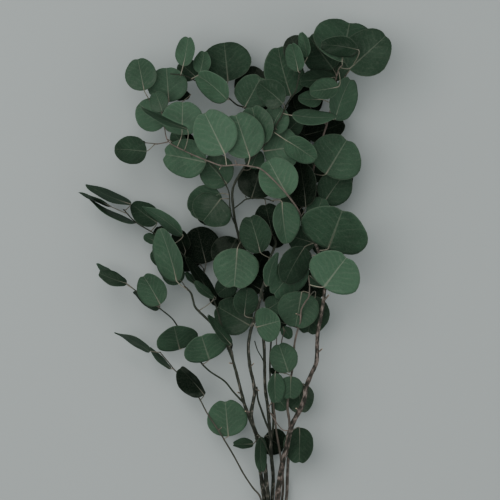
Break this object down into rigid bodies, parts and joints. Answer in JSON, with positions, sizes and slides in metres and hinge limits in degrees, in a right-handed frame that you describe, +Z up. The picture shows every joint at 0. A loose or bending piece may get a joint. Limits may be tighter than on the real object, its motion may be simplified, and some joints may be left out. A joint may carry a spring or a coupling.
{
  "type": "eucalyptus stem bunch",
  "caption": "Loose bunch of cut eucalyptus stems with round grey-green leaves on slim stalks, lying on its back; for a vase, wreath or table decoration.",
  "frame": {"origin": "centre of the bottom of the bounding box, on the surface the bunch lies on", "axes": "+Y along the bunch from the cut ends to the tips, +X to the right of the side seen in the picture, +Z up from the surface"},
  "size_m": [0.3728, 0.6422, 0.1396],
  "materials": {
    "foliage_main": "waxy leaf, dark grey-green, satin; brown bark on the thick stem",
    "foliage_back": "waxy leaf, dark grey-green, satin; brown bark",
    "foliage_centre": "waxy leaf, dark grey-green, satin; green-brown bark",
    "foliage_right": "waxy leaf, lighter grey-green, satin; brown bark",
    "foliage_small": "waxy leaf, dark grey-green, satin; green-brown bark",
    "foliage_left": "waxy leaf, dark green, satin; brown bark",
    "foliage_low": "waxy leaf, dark green, satin; thin pink-brown twig"
  },
  "bodies": {
    "root": {"stem_main": "foliage_main", "stem_back": "foliage_back", "stem_centre": "foliage_centre", "stem_right": "foliage_right", "stem_small": "foliage_small", "stem_left": "foliage_left", "twig_low": "foliage_low"}
  },
  "joints": []
}
